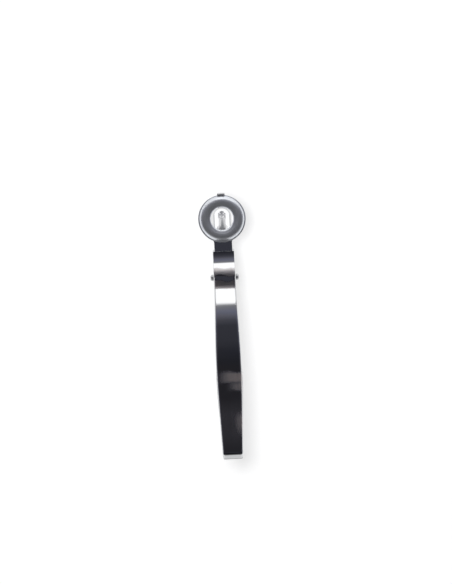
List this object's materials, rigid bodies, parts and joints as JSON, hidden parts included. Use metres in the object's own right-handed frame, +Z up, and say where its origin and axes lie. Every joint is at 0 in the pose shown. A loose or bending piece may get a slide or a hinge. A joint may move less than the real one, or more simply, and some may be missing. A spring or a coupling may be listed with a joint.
{
  "type": "olive pitter",
  "caption": "Hand-squeezed stone remover of folded stainless sheet: a punch on one lever pushes the stone through a ring on the other, and a coil spring opens it again.",
  "frame": {"origin": "bottom centre of the open tool's box, on the surface that it stands on", "axes": "+Y from the handles to the ring, +Z up through the ring's hole, the way the stone leaves, +X along the rivet"},
  "size_m": [0.0292, 0.1652, 0.0668],
  "materials": {
    "lever_steel": "mirror-polished stainless sheet",
    "cup_steel": "mirror-polished pressed stainless sheet",
    "punch_steel": "polished turned stainless rod",
    "rivet_steel": "polished rivet heads",
    "sleeve_steel": "plain drawn tube",
    "spring_steel": "drawn stainless spring wire"
  },
  "bodies": {
    "ring_side": {"ring_lever": "lever_steel", "fruit_cup": "cup_steel", "spring_sleeve": "sleeve_steel", "torsion_spring": "spring_steel"},
    "punch_side": {"punch_lever": "lever_steel", "punch": "punch_steel", "pivot_rivet": "rivet_steel"}
  },
  "joints": [
    {"name": "squeeze", "type": "hinge", "parent": "ring_side", "child": "punch_side", "pos_m": [0, 0.03062, 0.03556], "axis": [1, 0, 0], "range_deg": [0, 28], "stiffness_Nm_per_rad": 0.77, "springref_deg": -11.46, "deforming": ["torsion_spring"]}
  ]
}
